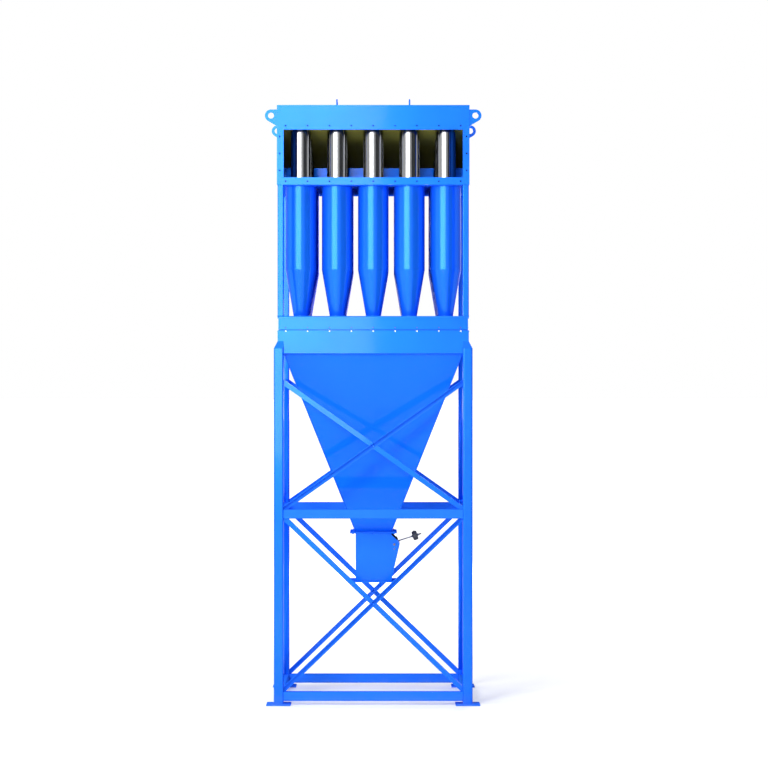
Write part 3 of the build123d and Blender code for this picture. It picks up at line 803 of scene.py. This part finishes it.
@dataclass
class FlapValve:
    """The weighted flap valve under the hopper."""

    wall_y: float = 0.15
    shaft_x: float = 0.1756
    shaft_z: float = 1.2877
    shaft_r: float = 0.01
    ring_r: float = 0.0135
    ring_t: float = 0.004
    ring_gap: float = 0.0008
    ring_edge: float = 0.0008
    slope: float = 17.6
    lever_y: float = 0.17
    hub_r: float = 0.02
    weight_r: float = 0.04
    weight_arm: float = 0.187
    weight_half: float = 0.022
    nut_t: float = 0.01
    nut_r: float = 0.012
    nut_edge: float = 0.0012
    lever_end: float = 0.244
    lever_r: float = 0.006
    screw_sink: float = 0.0005
    thread_pitch: float = 0.00175
    thread_r: float = 0.0008
    thread_sink: float = 0.0002
    wall_bolt: Point = (0.1764, -0.15, 1.2498)
    nose_bolt: Point = (0.16995, -0.1, 1.066)
    nose_normal: Point = (0.9747, 0.0, -0.2235)
    lid_x: float = 0.18183
    lid_z: float = 1.34623
    lid_step: float = 0.019
    lid_y: float = 0.125
    slant: Point = (-0.7452, 0.0, 0.6668)
    lid_normal: Point = (0.6668, 0.0, 0.7452)

    def build(self) -> None:
        """Add the shaft rings, the bolts, and the lever's nuts and thread."""
        ends = [facing((self.shaft_x, s * self.wall_y, self.shaft_z), (0.0, s, 0.0)) for s in (-1.0, 1.0)]
        Bench.deliver(Bench.repeat(self.shaft_ring(), ends), "shaft_rings", BLUE_PAINT)
        small = Fastener(flats=0.011, head_h=0.005, washer_d=0.015, washer_t=0.0016)
        bolts = [
            facing(self.wall_bolt, (0.0, -1.0, 0.0)),
            facing(self.nose_bolt, self.nose_normal),
        ]
        Bench.deliver(Bench.repeat(small.bolt(), bolts), "casing_bolts", ZINC_PAINTED_SHADE)
        flat = Fastener(flats=0.013, head_h=0.003)
        Bench.deliver(Bench.repeat(flat.socket_screw(), self.lid_places()), "lid_screws", DARK_LID)
        nuts = Bench.deliver(self.weight_nuts(), "weight_lock_nuts", ZINC_STEEL, Body.FLAP)
        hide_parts("weight_collars")
        Bench.deliver(self.thread(), "lever_thread", ZINC_STEEL, Body.FLAP)
        screw = Fastener(flats=0.01, head_h=0.004).socket_screw()
        tops = [
            self.on_lever() @ shifted(0.0, 0.0, self.hub_r - self.screw_sink),
            self.on_lever() @ shifted(self.weight_arm, 0.0, self.weight_r - self.screw_sink),
        ]
        Bench.deliver(Bench.repeat(screw, tops), "lever_screws", DARK_IRON, Body.FLAP)

    def on_lever(self) -> Matrix:
        """Give the lever's own frame, X along the lever and its origin on the shaft."""
        turn = Matrix.Rotation(math.radians(-self.slope), 4, "Y")
        return shifted(self.shaft_x, 0.0, self.shaft_z) @ turn @ shifted(0.0, self.lever_y, 0.0)

    def shaft_ring(self) -> bpy.types.Object:
        """Model the flat ring round the shaft.

        Returns:
            The ring, on the ground.
        """
        Bench.clear()
        bpy.ops.mesh.primitive_circle_add(vertices=32, radius=self.ring_r, fill_type="NGON")
        ring = bpy.context.object
        bpy.ops.object.mode_set(mode="EDIT")
        bpy.ops.mesh.select_mode(type="FACE")
        bpy.ops.mesh.select_all(action="SELECT")
        bpy.ops.mesh.inset(thickness=self.ring_r - self.shaft_r - self.ring_gap)
        bpy.ops.mesh.delete(type="FACE")
        bpy.ops.mesh.select_mode(type="VERT")
        bpy.ops.object.mode_set(mode="OBJECT")
        Bench.modify(ring, "SOLIDIFY", thickness=self.ring_t, offset=0.0)
        ring.data.transform(shifted(0.0, 0.0, self.ring_t / 2))
        Bench.modify(ring, "BEVEL", width=self.ring_edge, segments=2, limit_method="ANGLE")
        return ring

    def lid_places(self) -> list[Matrix]:
        """Give the place of each screw on the lid.

        Returns:
            One matrix a screw.
        """
        middle = Vector((self.lid_x, 0.0, self.lid_z))
        along = Vector(self.slant) * self.lid_step
        across = Vector((0.0, self.lid_y, 0.0))
        return [facing(middle + s * along + t * across, self.lid_normal) for s in (-1, 1) for t in (-1, 1)]

    def weight_nuts(self) -> bpy.types.Object:
        """Model the two nuts that lock the weight.

        Returns:
            Both nuts, in place.
        """
        nut = Fastener().disc(HEX_SIDES, self.nut_r, 0.0, self.nut_t, self.nut_edge)
        along = Matrix.Rotation(math.radians(90.0), 4, "Y")
        far = self.on_lever() @ shifted(self.weight_arm + self.weight_half, 0.0, 0.0) @ along
        back = Matrix.Rotation(math.radians(-90.0), 4, "Y")
        near = self.on_lever() @ shifted(self.weight_arm - self.weight_half, 0.0, 0.0) @ back
        return Bench.repeat(nut, [near, far])

    def thread(self) -> bpy.types.Object:
        """Model the thread on the lever's outer end.

        Returns:
            The thread, in place.
        """
        pitch = self.thread_pitch
        start = self.weight_arm + self.weight_half + self.nut_t
        count = int((self.lever_end - start) / pitch)
        Bench.clear()
        bpy.ops.mesh.primitive_torus_add(
            major_radius=self.lever_r - self.thread_sink, minor_radius=self.thread_r,
            major_segments=20, minor_segments=5,
            location=(start + pitch / 2, 0.0, 0.0), rotation=(0.0, math.radians(90.0), 0.0))
        thread = Bench.settle(bpy.context.object)
        Bench.modify(thread, "ARRAY", count=count, use_relative_offset=False, use_constant_offset=True,
                     constant_offset_displace=(pitch, 0.0, 0.0))
        thread.data.transform(self.on_lever())
        return thread


@dataclass
class UpperFrame:
    """The posts and the base beams under the battery."""

    post_x: float = 0.762
    post_y: float = 0.612
    post: float = 0.05
    corner_r: float = 0.008
    post_low: float = 3.198
    post_high: float = 4.278
    web_x: float = 0.781
    web_y: float = 0.631
    screw_z: float = 3.103
    seam_z: float = 3.0835
    seam_h: float = 0.0046
    seam_in: float = 0.002
    seam_t: float = 0.01
    screw_pitch: float = 0.18
    front_steps: int = 4
    side_steps: int = 3

    def build(self) -> None:
        """Add the welds of the posts, the screws along the base beams and the gasket in the seam."""
        weld = Weld(size=0.004).square(self.post / 2, self.post / 2 - self.corner_r)
        places = at_corners(self.post_x, self.post_y, self.post_low)
        places += at_corners(self.post_x, self.post_y, self.post_high)
        Bench.deliver(Bench.repeat(weld, places), "post_welds", BLUE_PAINT)
        screw = Fastener(flats=0.011, head_h=0.004).socket_screw()
        spots = seam_places(self.web_x, self.web_y, self.screw_z, self.screw_pitch,
                            self.front_steps, self.side_steps)
        Bench.deliver(Bench.repeat(screw, spots), "base_beam_screws", DARK_IRON)
        Bench.deliver(self.gasket(), "seam_gasket", DARK_LID)

    def gasket(self) -> bpy.types.Object:
        """Model the flat gasket that fills the seam over the hopper rim.

        Returns:
            The gasket, in place.
        """
        Bench.clear()
        bpy.ops.mesh.primitive_plane_add(size=2.0, location=(0.0, 0.0, self.seam_z))
        strip = bpy.context.object
        strip.scale = (self.web_x - self.seam_in, self.web_y - self.seam_in, 1.0)
        Bench.settle(strip)
        Bench.pick(strip, lambda middle, normal: True)
        bpy.ops.mesh.inset(thickness=self.seam_t)
        bpy.ops.mesh.delete(type="FACE")
        bpy.ops.object.mode_set(mode="OBJECT")
        Bench.modify(strip, "SOLIDIFY", thickness=self.seam_h, offset=0.0)
        return strip


@dataclass
class Battery:
    """The cyclone tubes."""

    pitch: float = 0.3
    columns: int = 5
    rows: int = 4
    spigot_r: float = 0.062
    spigot_z: float = 3.198
    tube_r: float = 0.127
    tube_z: float = 4.278
    weld_out: float = 0.001

    def build(self) -> None:
        """Add the weld round each tube, at the spigot sheet and at the lower tube sheet."""
        low = Weld().ring(self.spigot_r + self.weld_out)
        Bench.deliver(Bench.repeat(low, self.places(self.spigot_z)), "spigot_welds", BLUE_PAINT)
        high = Weld(pitch=0.014).ring(self.tube_r + self.weld_out)
        Bench.deliver(Bench.repeat(high, self.places(self.tube_z)), "tube_welds", BLUE_PAINT)

    def places(self, z: float) -> list[Matrix]:
        """Give the middle of each tube at a height.

        Args:
            z: The height.

        Returns:
            One matrix a tube.
        """
        xs = [(column - (self.columns - 1) / 2) * self.pitch for column in range(self.columns)]
        ys = [(row - (self.rows - 1) / 2) * self.pitch for row in range(self.rows)]
        return [shifted(x, y, z) for x in xs for y in ys]


@dataclass
class GasBox:
    """The box over the battery."""

    wall_x: float = 0.787
    lug_inner_y: float = 0.621
    lug_low: float = 4.766
    lug_high: float = 4.89
    handle_x: float = 0.3
    handle_y: float = -0.5
    handle_half: float = 0.065
    handle_r: float = 0.006
    weld_out: float = 0.001
    roof_z: float = 4.933
    plate_y: float = 0.637
    window_half: float = 0.737
    inlet: tuple[float, float, int] = (4.338, 4.731, 3)
    outlet: tuple[float, float, int] = (4.605, 4.873, 2)
    hole_out: float = 0.032
    hole_pitch: float = 0.18
    row_steps: int = 4
    side_pitch: float = 0.14
    nut_d: float = 0.02
    nut_depth: float = 0.014

    def build(self) -> None:
        """Add the welds of the lugs and of the handles, and near-black blind nuts behind the windows' bolt
        holes, which paint the shade in the holes.
        """
        root = Weld().line((self.wall_x, self.lug_inner_y, self.lug_low),
                           (self.wall_x, self.lug_inner_y, self.lug_high))
        Bench.deliver(Bench.repeat(root, mirrored_corners()), "lug_welds", BLUE_PAINT)
        ring = Weld(size=0.003, pitch=0.006).ring(self.handle_r + self.weld_out)
        feet = [shifted(sx * self.handle_x, self.handle_y + sy * self.handle_half, self.roof_z)
                for sx in (-1, 1) for sy in (-1, 1)]
        Bench.deliver(Bench.repeat(ring, feet), "handle_welds", BLUE_PAINT)
        nut = Fastener(flats=self.nut_d, head_h=self.nut_depth).socket_screw()
        places = self.shade_nut_places(self.inlet, -1.0) + self.shade_nut_places(self.outlet, 1.0)
        # Painted shade: the nuts take the near-black dark_lid finish, so that the bolt holes in front of them
        # read dark, as shade in a hole would.
        Bench.deliver(Bench.repeat(nut, places), "window_blind_nuts_painted_shade", DARK_LID)

    def shade_nut_places(self, window: tuple[float, float, int], side: float) -> list[Matrix]:
        """Give the place of each nut behind one end plate, its bore towards the hole.

        Args:
            window: The window's lower and upper edge, and the count of holes up each side.
            side: -1 for the front plate, 1 for the back plate.

        Returns:
            One matrix a nut.
        """
        low, high, count = window
        spots = [(i * self.hole_pitch, z) for i in range(-self.row_steps, self.row_steps + 1)
                 for z in (low - self.hole_out, high + self.hole_out)]
        edge = self.window_half + self.hole_out
        first = (low + high - (count - 1) * self.side_pitch) / 2
        spots += [(x, first + i * self.side_pitch) for i in range(count) for x in (-edge, edge)]
        y = side * (self.plate_y - self.nut_depth)
        return [facing((x, y, z), (0.0, side, 0.0)) for x, z in spots]


@dataclass(frozen=True)
class Lamp:
    """A soft box, with the point that it faces and the kinds of surface that it reaches."""

    name: str
    at: Point
    aim: Point
    size: tuple[float, float]
    watts: float
    diffuse: bool = True
    glossy: bool = True

    def hang(self) -> None:
        """Hang the soft box, out of the camera's sight."""
        light = bpy.data.lights.new(self.name, "AREA")
        light.shape = "RECTANGLE"
        light.size, light.size_y = self.size
        light.energy = self.watts
        holder = bpy.data.objects.new(self.name, light)
        holder.location = self.at
        holder.rotation_euler = (Vector(self.aim) - Vector(self.at)).to_track_quat("-Z", "Y").to_euler()
        holder.visible_camera = False
        holder.visible_diffuse = self.diffuse
        holder.visible_glossy = self.glossy
        bpy.context.scene.collection.objects.link(holder)


LAMPS = (
    Lamp("sheen", (-4.9, -14.0, 5.5), (0.0, 0.0, 3.0), (10.5, 8.0), 1700.0, diffuse=False),
    Lamp("key", (-3.4, -9.0, 5.2), (0.0, 0.0, 2.5), (2.6, 2.6), 600.0, glossy=False),
    Lamp("side", (-10.0, -3.0, 3.5), (0.0, 0.0, 2.5), (4.0, 4.0), 560.0, glossy=False),
    Lamp("top", (-1.5, -2.0, 13.0), (0.0, 0.0, 2.0), (8.0, 8.0), 700.0),
    Lamp("fill", (9.0, -8.0, 3.0), (0.0, 0.0, 2.5), (5.0, 6.0), 80.0),
    Lamp("back", (2.0, 15.0, 6.0), (0.0, 0.0, 2.5), (10.0, 8.0), 900.0),
    Lamp("inside", (-0.6, -20.0, 3.0), (0.0, 0.0, 4.2), (2.0, 2.0), 220.0, glossy=False),
)


@dataclass
class Studio:
    """Floor, light and camera."""

    camera_at: Point = (0.0888, -21.17, 2.6385)
    lens: float = 117.0
    sensor: float = 36.0
    sight: float = 1000.0
    floor_half: float = 400.0
    floor_z: float = -0.0005
    floor_colour: Colour = (0.8, 0.81, 0.82)
    floor_rough: float = 0.7
    floor_near: float = 2.5
    floor_far: float = 14.0
    near_glow: float = 0.16
    far_glow: float = 0.85
    ambient: float = 0.33
    screen_at: Point = (6.2, -6.0, 4.0)
    screen_colour: Colour = (0.06, 0.064, 0.068)
    screen_size: tuple[float, float] = (7.4, 8.0)

    def build(self) -> None:
        """Set up the floor, the lamps, the world and the camera."""
        scene = bpy.context.scene
        scene.view_settings.view_transform = "Standard"
        self.floor()
        self.screen()
        self.world(scene)
        for lamp in LAMPS:
            lamp.hang()
        camera = bpy.data.cameras.new("camera")
        camera.lens = self.lens
        camera.sensor_width = self.sensor
        camera.clip_end = self.sight
        holder = bpy.data.objects.new("camera", camera)
        holder.location = self.camera_at
        holder.rotation_euler = (math.radians(90.0), 0.0, 0.0)
        scene.collection.objects.link(holder)
        scene.camera = holder

    def floor(self) -> None:
        """Lay a pale floor that the camera sees as white, apart from the shadow."""
        Bench.clear()
        bpy.ops.mesh.primitive_plane_add(size=2 * self.floor_half, location=(0.0, 0.0, self.floor_z))
        floor = bpy.context.object
        floor.name = "floor"
        material = bpy.data.materials.new("pale_floor")
        material.use_nodes = True
        nodes, links = material.node_tree.nodes, material.node_tree.links
        shader = nodes["Principled BSDF"]
        shader.inputs["Base Color"].default_value = (*self.floor_colour, 1.0)
        shader.inputs["Roughness"].default_value = self.floor_rough
        shader.inputs["Emission Color"].default_value = (1.0, 1.0, 1.0, 1.0)
        links.new(self.glow(nodes, links), shader.inputs["Emission Strength"])
        floor.data.materials.append(material)

    def screen(self) -> None:
        """Stand a dark screen at the front right, for the steel and the paint to mirror."""
        Bench.clear()
        bpy.ops.mesh.primitive_plane_add(size=1.0, location=self.screen_at)
        screen = bpy.context.object
        screen.name = "screen"
        screen.scale = (*self.screen_size, 1.0)
        towards = Vector((0.0, 0.0, self.screen_at[2])) - Vector(self.screen_at)
        screen.rotation_euler = towards.to_track_quat("Z", "Y").to_euler()
        material = bpy.data.materials.new("dark_screen")
        material.use_nodes = True
        shader = material.node_tree.nodes["Principled BSDF"]
        shader.inputs["Base Color"].default_value = (*self.screen_colour, 1.0)
        shader.inputs["Roughness"].default_value = 1.0
        screen.data.materials.append(material)
        screen.visible_camera = False
        screen.visible_diffuse = False
        screen.visible_shadow = False

    def glow(self, nodes: bpy.types.Nodes, links: bpy.types.NodeLinks) -> bpy.types.NodeSocket:
        """Make up for the lamps' fall over a distance, so that the floor is as white far off.

        Args:
            nodes: Nodes of the tree to add to.
            links: Links of the same tree.

        Returns:
            A socket with the floor's own light.
        """
        away = nodes.new("ShaderNodeVectorMath")
        away.operation = "LENGTH"
        links.new(nodes.new("ShaderNodeTexCoord").outputs["Object"], away.inputs[0])
        share = nodes.new("ShaderNodeMapRange")
        share.inputs["From Min"].default_value = self.floor_near
        share.inputs["From Max"].default_value = self.floor_far
        share.inputs["To Min"].default_value = self.near_glow
        share.inputs["To Max"].default_value = self.far_glow
        links.new(away.outputs["Value"], share.inputs["Value"])
        shown = nodes.new("ShaderNodeMath")
        shown.operation = "MULTIPLY"
        links.new(share.outputs["Result"], shown.inputs[0])
        links.new(self.seen(nodes, links, 1.0), shown.inputs[1])
        return shown.outputs["Value"]

    def seen(self, nodes: bpy.types.Nodes, links: bpy.types.NodeLinks,
             strength: float) -> bpy.types.NodeSocket:
        """Tell the rays that show the background from those that light the object.

        Args:
            nodes: Nodes of the tree to add to.
            links: Links of the same tree.
            strength: Value for a camera, glossy or transmission ray.

        Returns:
            A socket with that strength, or 0 for other rays.
        """
        path = nodes.new("ShaderNodeLightPath")
        total = path.outputs["Is Camera Ray"]
        for name in ("Is Glossy Ray", "Is Transmission Ray"):
            either = nodes.new("ShaderNodeMath")
            either.operation = "MAXIMUM"
            links.new(total, either.inputs[0])
            links.new(path.outputs[name], either.inputs[1])
            total = either.outputs["Value"]
        scaled = nodes.new("ShaderNodeMath")
        scaled.operation = "MULTIPLY"
        scaled.inputs[1].default_value = strength
        links.new(total, scaled.inputs[0])
        return scaled.outputs["Value"]

    def world(self, scene: bpy.types.Scene) -> None:
        """Light the object from all round, and show white behind it.

        Args:
            scene: The scene that gets the world.
        """
        world = bpy.data.worlds.new("studio")
        world.use_nodes = True
        nodes, links = world.node_tree.nodes, world.node_tree.links
        background = nodes["Background"]
        background.inputs["Color"].default_value = (1.0, 1.0, 1.0, 1.0)
        lift = nodes.new("ShaderNodeMath")
        lift.operation = "ADD"
        lift.inputs[1].default_value = self.ambient
        links.new(self.seen(nodes, links, 1.0 - self.ambient), lift.inputs[0])
        links.new(lift.outputs["Value"], background.inputs["Strength"])
        scene.world = world


def dress_solids() -> None:
    """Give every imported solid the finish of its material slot."""
    finishes = {finish.slot: finish for finish in FINISHES}
    for part in frame["record"]["subparts"]:
        node = frame["nodes"][part["node"]]
        node.data.materials.clear()
        finish = NODE_FINISHES.get(part["node"], finishes[part["material_slot"]])
        node.data.materials.append(finish.material())
        log.info("%s: %s", part["node"], part["material_slot"])


def main() -> None:
    """Build and dress the separator, then set up the studio."""
    logging.basicConfig(level=logging.INFO, format="%(name)s: %(message)s")
    dress_solids()
    for assembly in (Stand(), Hopper(), FlapValve(), UpperFrame(), Battery(), GasBox(), Studio()):
        assembly.build()
        log.info("%s is built", type(assembly).__name__)


if __name__ == "__main__":
    main()
